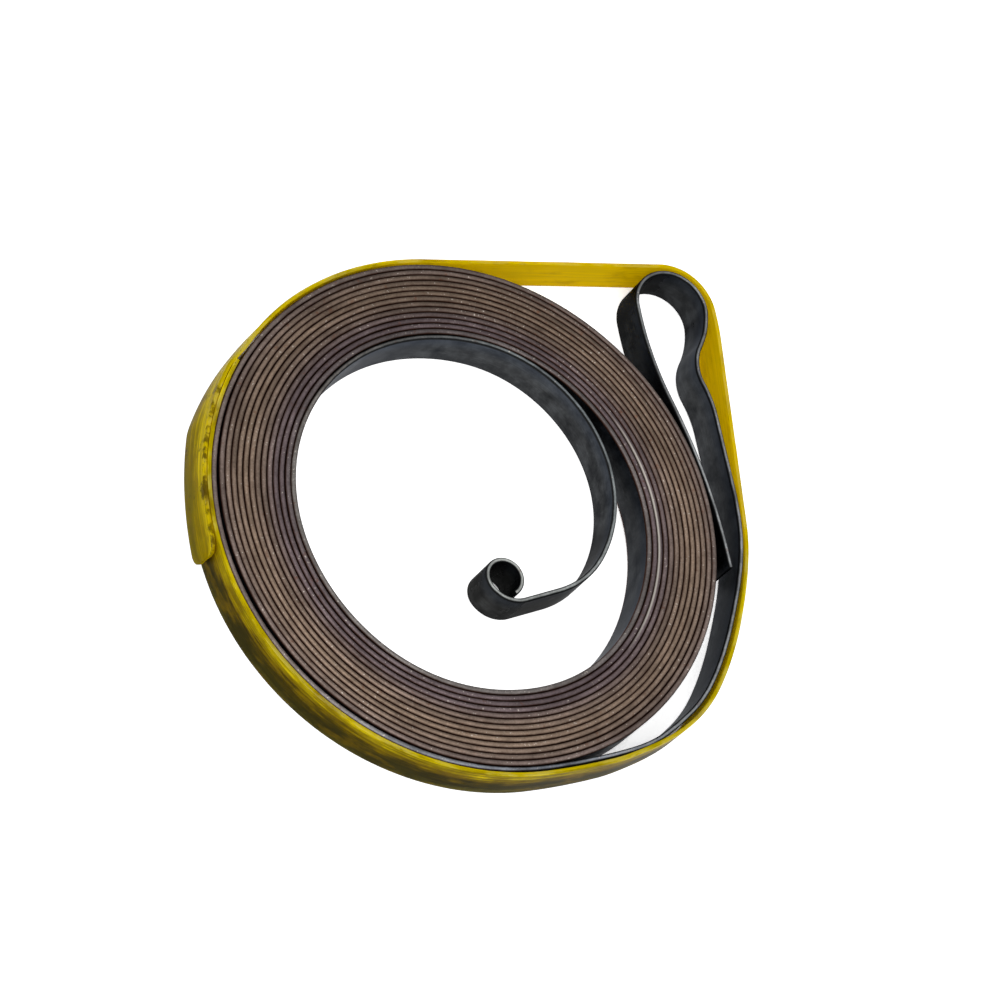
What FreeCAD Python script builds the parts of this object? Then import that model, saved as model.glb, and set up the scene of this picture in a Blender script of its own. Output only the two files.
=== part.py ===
import FreeCAD, Part
import math
import os

# Recoil starter spring: a flat steel strip wound into a pack, held by a thin strap round its outside.
# Millimetres. The origin is on the pack's axis, in the plane of the strip's lower edges, and +Z is the axis.
# Angles are in degrees, counted from +X towards +Y. A left turn is positive.

# Strip
strip_width = 6.0
strip_thickness = 0.62
turn_gap = 0.15

# Pack of close turns, made of half turns whose centres alternate across the axis
first_turn_radius = 24.13
half_turn_count = 26
joint_angle = 125.0
last_turn_angle = 150.0
last_turn_slack_gap = 0.33

# Inner tail, from the pack's first turn to the curl: share of the first turn's radius, and angle
tail_bends = (
    (0.966, 22.9),
    (1.048, 25.1),
    (0.795, 67.2),
    (0.754, 47.3),
    (0.523, 38.8),
)
tail_flat_length = 5.1
curl_entry_radius = 3.94
curl_entry_angle = 74.2
curl_radius = 2.33
curl_angle = 273.2

# Outer leg, which bears on the pack and ends free
leg_contact_angle = 9.7
leg_contact_clearance = 0.12
leg_radius = 80.0
leg_length_below = 14.1
leg_angle_above = 6.9

# Loop at the top of the leg
loop_rise_radius = 44.7
loop_rise_angle = 18.0
loop_radius = 5.05
loop_angle = 188.4
loop_entry_radius = 11.8

# Neck and straight side run below the loop
neck_radius = 6.05
neck_entry_radius = 15.4
side_gap = 3.4
side_run_angle = 91.0
side_run_length = 10.0
neck_entry_height = 13.3

# Bends from the side run back to the pack
side_radius = 45.0
corner_radius = 20.0
run_out_radius = 92.0

# Strap: it lies round the pack and the loop, with a gentle shoulder on the side
strap_height = 6.0
strap_thickness = 0.5
strap_clearance = 0.15
strap_inner_end_angle = 144.0
strap_shoulder_radius = 45.0
strap_shoulder_angle = 91.0
strap_loop_radius = 6.51
strap_loop_clearance = 0.3
strap_bearing_angle = 59.5

# Lapped outer end of the strap: it lifts off the pack, bulges and lies back as a flatter tab
lap_start_angle = 118.0
lap_lift_share = 1.22
lap_bulge_radius = 8.0
lap_tab_share = 1.6
lap_near_angle = 174.0
lap_gap = 0.49
lap_tab_length = 17.3
tab_corner_radius = 1.8


def direction(angle):
    """Unit vector in the ground plane at an angle."""
    return FreeCAD.Vector(math.cos(math.radians(angle)), math.sin(math.radians(angle)), 0)


def angle_of(vector):
    """Angle of a vector in the ground plane."""
    return math.degrees(math.atan2(vector.y, vector.x))


def meeting_centre(centre_a, distance_a, centre_b, distance_b, side):
    """Point at two given distances from two centres, left (+1) or right (-1) of the line from a to b."""
    line = centre_b - centre_a
    along = (distance_a**2 - distance_b**2 + line.Length**2) / (2 * line.Length)
    across = math.sqrt(distance_a**2 - along**2)
    unit = line / line.Length
    return centre_a + unit * along + FreeCAD.Vector(-unit.y, unit.x, 0) * (side * across)


class Course:
    """A centreline of straight runs and arcs, each tangent to the one before."""

    def __init__(self, point, heading):
        self.point = point
        self.heading = heading
        self.pieces = []

    def straight(self, length):
        end = self.point + direction(self.heading) * length
        self.pieces.append((self.point, self.heading, end, self.heading, 0.0))
        self.point = end

    def arc(self, radius, turn):
        """Bend through a turn, to the left if the turn is positive."""
        centre = self.point + direction(self.heading + math.copysign(90, turn)) * radius
        end = centre + direction(self.heading + turn - math.copysign(90, turn)) * radius
        self.pieces.append((self.point, self.heading, end, self.heading + turn, math.copysign(radius, turn)))
        self.point = end
        self.heading += turn

    def arc_to_heading(self, radius, heading, sign):
        """Bend left (+1) or right (-1) until the course has a given heading."""
        self.arc(radius, sign * ((sign * (heading - self.heading)) % 360))

    def reversed(self):
        """The same line, run from its end to its start."""
        back = Course(self.point, self.heading + 180)
        for start, start_heading, end, end_heading, radius in reversed(self.pieces):
            back.pieces.append((end, end_heading + 180, start, start_heading + 180, -radius))
        back.point = self.pieces[0][0]
        back.heading = self.pieces[0][1] + 180
        return back

    def side_edges(self, offset):
        """Edges of the line that runs at an offset to the left of the course."""
        edges = []
        for start, start_heading, end, end_heading, radius in self.pieces:
            first = start + direction(start_heading + 90) * offset
            last = end + direction(end_heading + 90) * offset
            if radius:
                middle_heading = (start_heading + end_heading) / 2
                centre = start + direction(start_heading + 90) * radius
                middle = centre - direction(middle_heading + 90) * (radius - offset)
                edges.append(Part.Arc(first, middle, last).toShape())
            else:
                edges.append(Part.LineSegment(first, last).toShape())
        return edges

    def solid(self, thickness, height):
        """Strip of a thickness that stands on edge along the course."""
        left = self.side_edges(thickness / 2)
        right = self.side_edges(-thickness / 2)
        ends = [
            Part.LineSegment(right[-1].lastVertex(True).Point, left[-1].lastVertex(True).Point).toShape(),
            Part.LineSegment(left[0].firstVertex(True).Point, right[0].firstVertex(True).Point).toShape(),
        ]
        outline = Part.Wire(Part.__sortEdges__(left + right + ends))
        return Part.Face(outline).extrude(FreeCAD.Vector(0, 0, height))


# Pack
pitch = strip_thickness + turn_gap
even_centre = direction(joint_angle) * (-pitch / 4)
odd_centre = direction(joint_angle) * (pitch / 4)
joint = even_centre + direction(joint_angle) * first_turn_radius
last_turn_radius = first_turn_radius + half_turn_count * pitch / 2
outer_turn_radius = last_turn_radius - pitch / 2

# Last turn, which stands off the pack by its slack: its middle half is tighter and its ends are wider
quarter_angle = last_turn_angle / 4
slack_share = last_turn_slack_gap / (2 * (1 - math.cos(math.radians(quarter_angle))))
slack_end_radius = last_turn_radius + slack_share
slack_middle_radius = last_turn_radius - slack_share * (2 * math.cos(math.radians(quarter_angle)) - 1)
slack_centre = even_centre - direction(joint_angle) * slack_share

# Leg, from its contact with the pack up round the loop
contact_radius = outer_turn_radius + strip_thickness + leg_contact_clearance
contact = odd_centre + direction(leg_contact_angle) * contact_radius
leg_heading = leg_contact_angle + 90
leg_top = Course(contact, leg_heading)
leg_top.arc(leg_radius, leg_angle_above)
leg_top.arc(loop_rise_radius, -loop_rise_angle)
leg_top.arc(loop_radius, -loop_angle)
loop_centre = leg_top.point + direction(leg_top.heading - 90) * loop_radius
loop_start_heading = leg_top.heading + 180

# Circles that the neck touches, and the neck between them
loop_entry_centre = leg_top.point + direction(leg_top.heading - 90) * loop_entry_radius
side_normal = side_run_angle + 90
side_line_radius = contact_radius + side_gap
side_run_end = FreeCAD.Vector(side_line_radius, neck_entry_height, 0)
neck_entry_centre = side_run_end + direction(side_normal) * neck_entry_radius
neck_centre = meeting_centre(
    neck_entry_centre, neck_entry_radius + neck_radius,
    loop_entry_centre, loop_entry_radius + neck_radius, -1,
)

# Circles of the side, the corner and the run out of the pack
side_run_start = side_run_end - direction(side_run_angle) * side_run_length
side_centre = side_run_start + direction(side_normal) * side_radius
departure_angle = joint_angle + 180 * half_turn_count + last_turn_angle
run_out_centre = even_centre + direction(departure_angle) * (last_turn_radius - run_out_radius)
corner_centre = meeting_centre(
    run_out_centre, run_out_radius - corner_radius,
    side_centre, side_radius - corner_radius, 1,
)

# Whole strip, from the curl outwards
tail = Course(joint, joint_angle - 90)
for radius_share, bend in tail_bends:
    tail.arc(radius_share * first_turn_radius, -bend)
tail.straight(tail_flat_length)
tail.arc(curl_entry_radius, -curl_entry_angle)
curl_centre = tail.point + direction(tail.heading - 90) * curl_radius
tail.arc(curl_radius, -curl_angle)

strip_course = tail.reversed()
for index in range(half_turn_count):
    strip_course.arc(first_turn_radius + index * pitch / 2, 180.0)
strip_course.arc(slack_end_radius, quarter_angle)
strip_course.arc(slack_middle_radius, 2 * quarter_angle)
strip_course.arc(slack_end_radius, quarter_angle)
strip_course.arc_to_heading(run_out_radius, angle_of(corner_centre - run_out_centre) + 90, 1)
strip_course.arc_to_heading(corner_radius, angle_of(corner_centre - side_centre) + 90, 1)
strip_course.arc_to_heading(side_radius, side_run_angle, 1)
strip_course.straight(side_run_length)
strip_course.arc_to_heading(neck_entry_radius, angle_of(neck_centre - neck_entry_centre) + 90, 1)
strip_course.arc_to_heading(neck_radius, angle_of(neck_centre - loop_entry_centre) + 90, -1)
strip_course.arc_to_heading(loop_entry_radius, loop_start_heading, 1)
strip_course.arc(loop_radius, loop_angle)
strip_course.arc(loop_rise_radius, loop_rise_angle)
strip_course.arc(leg_radius, -leg_angle_above - math.degrees(leg_length_below / leg_radius))

spring_strip = strip_course.solid(strip_thickness, strip_width)

# Circles that the strap touches round the loop: its own loop and the shoulder before it
strap_offset = strip_thickness / 2 + strap_clearance + strap_thickness / 2
bearing_radius = loop_radius + strip_thickness / 2 + strap_loop_clearance + strap_thickness / 2
strap_loop_centre = loop_centre + direction(strap_bearing_angle) * (bearing_radius - strap_loop_radius)
shoulder_normal = direction(strap_shoulder_angle - 90)
shoulder_centre = strap_loop_centre + shoulder_normal * (strap_loop_radius - strap_shoulder_radius)

# Strap, from its inner end on the pack round the loop to its lapped outer end
strap_start = slack_centre + direction(strap_inner_end_angle) * (slack_end_radius + strap_offset)
strap_course = Course(strap_start, strap_inner_end_angle + 90)
strap_course.arc_to_heading(slack_end_radius + strap_offset, joint_angle + quarter_angle + 90, 1)
strap_course.arc(slack_middle_radius + strap_offset, 2 * quarter_angle)
strap_course.arc(slack_end_radius + strap_offset, quarter_angle)
strap_course.arc_to_heading(run_out_radius + strap_offset, angle_of(corner_centre - run_out_centre) + 90, 1)
strap_course.arc_to_heading(corner_radius + strap_offset, angle_of(corner_centre - side_centre) + 90, 1)
to_shoulder = shoulder_centre - side_centre
side_step = side_radius + strap_offset - strap_shoulder_radius
side_pull = math.degrees(math.asin(side_step / to_shoulder.Length))
strap_course.arc_to_heading(side_radius + strap_offset, angle_of(to_shoulder) + side_pull, 1)
strap_course.straight(math.sqrt(to_shoulder.Length**2 - side_step**2))
strap_course.arc_to_heading(strap_shoulder_radius, strap_shoulder_angle, 1)
to_pack = odd_centre - strap_loop_centre
top_step = strap_loop_radius - outer_turn_radius - strap_offset
top_pull = math.degrees(math.asin(top_step / to_pack.Length))
strap_course.arc_to_heading(strap_loop_radius, angle_of(to_pack) + top_pull, 1)
strap_course.straight(math.sqrt(to_pack.Length**2 - top_step**2))
strap_course.arc_to_heading(outer_turn_radius + strap_offset, lap_start_angle + 90, 1)
lift_radius = lap_lift_share * outer_turn_radius
lift_centre = strap_course.point - direction(lap_start_angle) * lift_radius
tab_radius = lap_tab_share * outer_turn_radius
tab_near_radius = last_turn_radius + strap_offset + strap_thickness + lap_gap
tab_centre = even_centre + direction(lap_near_angle) * (tab_near_radius - tab_radius)
bulge_centre = meeting_centre(
    tab_centre, tab_radius - lap_bulge_radius,
    lift_centre, lift_radius - lap_bulge_radius, -1,
)
strap_course.arc_to_heading(lift_radius, angle_of(bulge_centre - lift_centre) + 90, 1)
strap_course.arc_to_heading(lap_bulge_radius, angle_of(bulge_centre - tab_centre) + 90, 1)
strap_course.arc(tab_radius, math.degrees(lap_tab_length / tab_radius))
strap = strap_course.solid(strap_thickness, strap_height)

# Rounded corners of the tab
tab_end = strap_course.point
corner_edges = []
for edge in strap.Edges:
    middle = edge.CenterOfMass
    across = edge.Length < strap_thickness * 1.01 and abs(edge.BoundBox.ZLength) < 1e-6
    if across and (FreeCAD.Vector(middle.x, middle.y, 0) - tab_end).Length < strap_thickness / 2:
        corner_edges.append(edge)
retaining_band = strap.makeFillet(tab_corner_radius, corner_edges)

os.makedirs("parts", exist_ok=True)
spring_strip.exportStep("parts/spring_strip.step")
retaining_band.exportStep("parts/retaining_band.step")
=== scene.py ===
"""Recoil starter spring: wound dark spring steel in a thin yellow strap, on a pale studio floor."""

import logging
import math
import random
from dataclasses import dataclass, field
from enum import Enum

import bpy
import numpy as np
from mathutils import Matrix, Vector

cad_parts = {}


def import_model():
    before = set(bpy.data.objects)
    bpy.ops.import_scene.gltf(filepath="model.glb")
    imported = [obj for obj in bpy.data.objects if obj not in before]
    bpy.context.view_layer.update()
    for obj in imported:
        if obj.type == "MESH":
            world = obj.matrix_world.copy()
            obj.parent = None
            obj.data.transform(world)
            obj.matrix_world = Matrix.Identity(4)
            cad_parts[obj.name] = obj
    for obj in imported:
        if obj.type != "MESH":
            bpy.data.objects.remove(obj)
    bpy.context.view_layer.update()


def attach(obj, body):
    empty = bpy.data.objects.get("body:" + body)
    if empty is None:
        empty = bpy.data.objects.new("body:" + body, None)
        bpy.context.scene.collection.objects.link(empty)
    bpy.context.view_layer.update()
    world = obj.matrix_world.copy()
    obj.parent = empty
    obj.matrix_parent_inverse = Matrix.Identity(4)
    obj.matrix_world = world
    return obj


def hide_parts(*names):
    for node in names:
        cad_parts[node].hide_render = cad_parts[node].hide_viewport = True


log = logging.getLogger("spring")
MM = 0.001

# Node types with the settings that they are used with
NOISE = ("ShaderNodeTexNoise", {})
EVEN_RANGE = ("ShaderNodeMapRange", {})
SMOOTH_RANGE = ("ShaderNodeMapRange", {"interpolation_type": "SMOOTHSTEP"})
COLOUR_MIX = ("ShaderNodeMix", {"data_type": "RGBA"})
COLOUR_PRODUCT = ("ShaderNodeVectorMath", {"operation": "MULTIPLY"})
COLOUR_SCALE = ("ShaderNodeVectorMath", {"operation": "SCALE"})
PRODUCT = ("ShaderNodeMath", {"operation": "MULTIPLY"})
PRODUCT_AND_SUM = ("ShaderNodeMath", {"operation": "MULTIPLY_ADD"})


def linear(hex_colour: str) -> tuple[float, float, float, float]:
    """Turn an sRGB hex colour into linear values.

    Args:
        hex_colour: Six hex digits, such as "8A7B6C".

    Returns:
        Red, green and blue in linear light, and an alpha of one.
    """
    values = [int(hex_colour[i:i + 2], 16) / 255 for i in (0, 2, 4)]
    light = [v / 12.92 if v <= 0.04045 else ((v + 0.055) / 1.055) ** 2.4 for v in values]
    return (light[0], light[1], light[2], 1.0)


def add_node(
    tree: bpy.types.NodeTree, kind: str, settings: dict | None = None, links: dict | None = None
) -> bpy.types.Node:
    """Add one node to a tree.

    Args:
        tree: The tree that gets the node.
        kind: The node's type name.
        settings: Attributes to set on the node.
        links: Input name or number to a constant, to an output socket, or to a node for its first output.

    Returns:
        The new node.
    """
    node = tree.nodes.new(kind)
    for name, value in (settings or {}).items():
        setattr(node, name, value)
    for name, value in (links or {}).items():
        source = value.outputs[0] if isinstance(value, bpy.types.Node) else value
        if isinstance(source, bpy.types.NodeSocket):
            tree.links.new(source, node.inputs[name])
        else:
            node.inputs[name].default_value = source
    return node


def empty_tree(owner: bpy.types.Material | bpy.types.World) -> bpy.types.NodeTree:
    """Turn on an owner's nodes and take the default ones out."""
    owner.use_nodes = True
    owner.node_tree.nodes.clear()
    return owner.node_tree


def new_material(name: str) -> tuple[bpy.types.Material, bpy.types.NodeTree, bpy.types.Node]:
    """Make a material, and give it with its tree and its output node."""
    material = bpy.data.materials.new(name)
    tree = empty_tree(material)
    return material, tree, add_node(tree, "ShaderNodeOutputMaterial")


def read_values(tree: bpy.types.NodeTree, labels: tuple[str, ...]) -> dict[str, bpy.types.NodeSocket]:
    """Read a piece's own values, its place in metres and its lengths in millimetres.

    Args:
        tree: The material's tree.
        labels: Names of the values that the mesh holds at its points.

    Returns:
        A socket for each name, and for "place" and "lengths".
    """
    values = {
        label: add_node(tree, "ShaderNodeAttribute", {"attribute_name": label}).outputs["Fac"]
        for label in labels
    }
    values["place"] = add_node(tree, "ShaderNodeTexCoord").outputs["Object"]
    values["lengths"] = add_node(tree, "ShaderNodeUVMap", {"uv_map": "lengths"}).outputs[0]
    return values


def even_noise(
    tree: bpy.types.NodeTree, place: bpy.types.NodeSocket, size_mm: float, detail: float, rough: float
) -> bpy.types.Node:
    """Noise with marks of one size, in millimetres, whichever way they lie."""
    return add_node(tree, *NOISE, {
        "Vector": place, "Scale": 1 / (size_mm * MM), "Detail": detail, "Roughness": rough,
    })


def drawn_noise(
    tree: bpy.types.NodeTree,
    lengths: bpy.types.NodeSocket,
    count: tuple[float, float],
    detail: float,
    rough: float,
) -> bpy.types.Node:
    """Noise drawn out along a piece, with a count of marks to the millimetre along and across it."""
    drawn = add_node(tree, "ShaderNodeMapping", {}, {"Vector": lengths, "Scale": (*count, 1.0)})
    return add_node(tree, *NOISE, {"Vector": drawn, "Scale": 1.0, "Detail": detail, "Roughness": rough})


def swing(
    tree: bpy.types.NodeTree, noise: bpy.types.Node, lowest: float, highest: float
) -> bpy.types.Node:
    """Turn a noise, most of whose values lie between 0.3 and 0.7, into one that swings between two limits."""
    return add_node(tree, *EVEN_RANGE, {
        "Value": noise, "From Min": 0.3, "From Max": 0.7, "To Min": lowest, "To Max": highest,
    })


def set_ramp(node: bpy.types.Node, stops: list[tuple[float, str]]) -> None:
    """Give a colour ramp its stops.

    Args:
        node: The colour ramp node.
        stops: Positions from 0 to 1, each with a hex colour.
    """
    elements = node.color_ramp.elements
    while len(elements) < len(stops):
        elements.new(0.5)
    for element, (position, colour) in zip(elements, stops):
        element.position = position
        element.color = linear(colour)


def heading_vector(degrees: float) -> np.ndarray:
    """Unit vector in the ground plane at an angle from +X."""
    return np.array([math.cos(math.radians(degrees)), math.sin(math.radians(degrees))])


def angle_of(vector: np.ndarray) -> float:
    """Angle of a plane vector in degrees."""
    return math.degrees(math.atan2(vector[1], vector[0]))


def meeting_centre(
    centre_a: np.ndarray, distance_a: float, centre_b: np.ndarray, distance_b: float, side: int
) -> np.ndarray:
    """Find the point at two given distances from two centres.

    Args:
        centre_a: First centre.
        distance_a: Distance from the first centre.
        centre_b: Second centre.
        distance_b: Distance from the second centre.
        side: 1 for the left of the line from the first to the second, -1 for its right.

    Returns:
        The point.
    """
    line = centre_b - centre_a
    length = float(np.hypot(*line))
    along = (distance_a**2 - distance_b**2 + length**2) / (2 * length)
    across = math.sqrt(distance_a**2 - along**2)
    unit = line / length
    return centre_a + unit * along + np.array([-unit[1], unit[0]]) * side * across


def wander(seed: int, shortest: float, longest: float, terms: int = 7) -> list[tuple[float, float, float]]:
    """Make the waves of a smooth random line.

    Args:
        seed: Seed of the waves.
        shortest: Shortest wave length.
        longest: Longest wave length.
        terms: Number of waves.

    Returns:
        Wave number, phase and weight of each wave. The weights add to one.
    """
    dice = random.Random(seed)
    waves = []
    for index in range(terms):
        length = longest * (shortest / longest) ** (index / max(1, terms - 1))
        waves.append((2 * math.pi / length, dice.uniform(0, 2 * math.pi), dice.uniform(0.6, 1.0)))
    total = sum(weight for _, _, weight in waves)
    return [(number, phase, weight / total) for number, phase, weight in waves]


def follow(waves: list[tuple[float, float, float]], place: np.ndarray) -> np.ndarray:
    """Values of a smooth random line, between -1 and 1, at given places."""
    return sum(weight * np.sin(number * place + phase) for number, phase, weight in waves)


def fade(value: np.ndarray, start: float, end: float) -> np.ndarray:
    """Smooth step from 0 at the start to 1 at the end."""
    part = np.clip((value - start) / (end - start), 0, 1)
    return part * part * (3 - 2 * part)


def round_angles(points: np.ndarray) -> np.ndarray:
    """Angles of points round the pack, from 0 to 360 degrees."""
    return np.degrees(np.arctan2(points[:, 1], points[:, 0])) % 360


class Hand(Enum):
    """Side to which a course bends."""

    LEFT = 1
    RIGHT = -1


class Course:
    """A line of straight runs and arcs in the ground plane, each tangent to the one before. Millimetres."""

    def __init__(self, point: np.ndarray, heading: float) -> None:
        """Start a course at a point with a heading in degrees."""
        self.point = point
        self.heading = heading
        self.pieces: list[tuple[np.ndarray, float, float, float]] = []
        self.length = 0.0

    def straight(self, length: float) -> "Course":
        """Add a straight run."""
        self.pieces.append((self.point, self.heading, length, 0.0))
        self.point = self.point + heading_vector(self.heading) * length
        self.length += length
        return self

    def arc(self, radius: float, turn: float) -> "Course":
        """Add an arc of a radius and a turn in degrees, to the left if the turn is positive."""
        sign = math.copysign(1, turn)
        centre = self.point + heading_vector(self.heading + 90 * sign) * radius
        self.pieces.append((self.point, self.heading, radius * math.radians(abs(turn)), sign / radius))
        self.point = centre + heading_vector(self.heading + turn - 90 * sign) * radius
        self.heading += turn
        self.length += radius * math.radians(abs(turn))
        return self

    def arc_to(self, radius: float, heading: float, hand: Hand = Hand.LEFT) -> "Course":
        """Add an arc that ends at a given heading."""
        sign = hand.value
        return self.arc(radius, sign * ((sign * (heading - self.heading)) % 360))

    def backwards(self) -> "Course":
        """The same line, run from its end to its start."""
        back = Course(self.point, self.heading + 180)
        for _, _, length, bend in reversed(self.pieces):
            if bend:
                back.arc(1 / abs(bend), -math.copysign(math.degrees(length * abs(bend)), bend))
            else:
                back.straight(length)
        return back

    def stations(self, step: float, step_angle: float) -> tuple[np.ndarray, np.ndarray, np.ndarray]:
        """Sample the course.

        Args:
            step: Longest step between samples, in millimetres.
            step_angle: Largest turn between samples, in degrees.

        Returns:
            Points, headings in radians and lengths from the start.
        """
        points, headings, lengths = [], [], []
        done = 0.0
        for start, heading, length, bend in self.pieces:
            turn = math.degrees(length * bend)
            count = max(1, math.ceil(length / step), math.ceil(abs(turn) / step_angle))
            for index in range(count):
                part = length * index / count
                now = heading + math.degrees(part * bend)
                if bend:
                    normal = heading_vector(heading + 90)
                    point = start + normal / bend - heading_vector(now + 90) / bend
                else:
                    point = start + heading_vector(heading) * part
                points.append(point)
                headings.append(math.radians(now))
                lengths.append(done + part)
            done += length
        points.append(self.point)
        headings.append(math.radians(self.heading))
        lengths.append(done)
        return np.array(points), np.array(headings), np.array(lengths)


@dataclass(frozen=True)
class CoilSizes:
    """Sizes of the wound strip and its strap, in millimetres and degrees."""

    strip_width: float = 6.0
    strip_thickness: float = 0.62
    turn_gap: float = 0.15
    first_turn_radius: float = 24.13
    half_turn_count: int = 26
    joint_angle: float = 125.0
    last_turn_angle: float = 150.0
    last_turn_slack_gap: float = 0.33
    tail_bends: tuple[tuple[float, float], ...] = (
        (0.966, 22.9), (1.048, 25.1), (0.795, 67.2), (0.754, 47.3), (0.523, 38.8),
    )
    tail_flat_length: float = 5.1
    curl_entry_radius: float = 3.94
    curl_entry_angle: float = 74.2
    curl_radius: float = 2.33
    curl_angle: float = 273.2
    leg_contact_angle: float = 9.7
    leg_contact_clearance: float = 0.12
    leg_radius: float = 80.0
    leg_length_below: float = 14.1
    leg_angle_above: float = 6.9
    loop_rise_radius: float = 44.7
    loop_rise_angle: float = 18.0
    loop_radius: float = 5.05
    loop_angle: float = 188.4
    loop_entry_radius: float = 11.8
    neck_radius: float = 6.05
    neck_entry_radius: float = 15.4
    side_gap: float = 3.4
    side_run_angle: float = 91.0
    side_run_length: float = 10.0
    neck_entry_height: float = 13.3
    side_radius: float = 45.0
    corner_radius: float = 20.0
    run_out_radius: float = 92.0
    strap_height: float = 6.0
    strap_thickness: float = 0.5
    strap_clearance: float = 0.15
    strap_inner_end_angle: float = 144.0
    strap_shoulder_radius: float = 45.0
    strap_shoulder_angle: float = 91.0
    strap_loop_radius: float = 6.51
    strap_loop_clearance: float = 0.3
    strap_bearing_angle: float = 59.5
    lap_start_angle: float = 118.0
    lap_lift_share: float = 1.22
    lap_bulge_radius: float = 8.0
    lap_tab_share: float = 1.6
    lap_near_angle: float = 174.0
    lap_gap: float = 0.49
    lap_tab_length: float = 17.3
    tab_corner_radius: float = 1.8

    @property
    def pitch(self) -> float:
        """Distance from one turn to the next."""
        return self.strip_thickness + self.turn_gap

    @property
    def even_centre(self) -> np.ndarray:
        """Centre of the first, third and later odd-numbered half turns."""
        return heading_vector(self.joint_angle) * (-self.pitch / 4)

    @property
    def odd_centre(self) -> np.ndarray:
        """Centre of the half turns between them."""
        return -self.even_centre

    @property
    def last_turn_radius(self) -> float:
        """Radius of the last arc of the pack."""
        return self.first_turn_radius + self.half_turn_count * self.pitch / 2

    @property
    def outer_turn_radius(self) -> float:
        """Radius of the half turn before the last arc."""
        return self.last_turn_radius - self.pitch / 2

    @property
    def slack_share(self) -> float:
        """How much wider the ends of the last turn are than a plain arc, for its slack."""
        return self.last_turn_slack_gap / (2 * (1 - math.cos(math.radians(self.last_turn_angle / 4))))

    @property
    def slack_middle_radius(self) -> float:
        """Radius of the last turn's middle half."""
        quarter = math.radians(self.last_turn_angle / 4)
        return self.last_turn_radius - self.slack_share * (2 * math.cos(quarter) - 1)

    @property
    def strap_offset(self) -> float:
        """Distance from the strip's middle to the strap's middle."""
        return self.strip_thickness / 2 + self.strap_clearance + self.strap_thickness / 2


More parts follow.
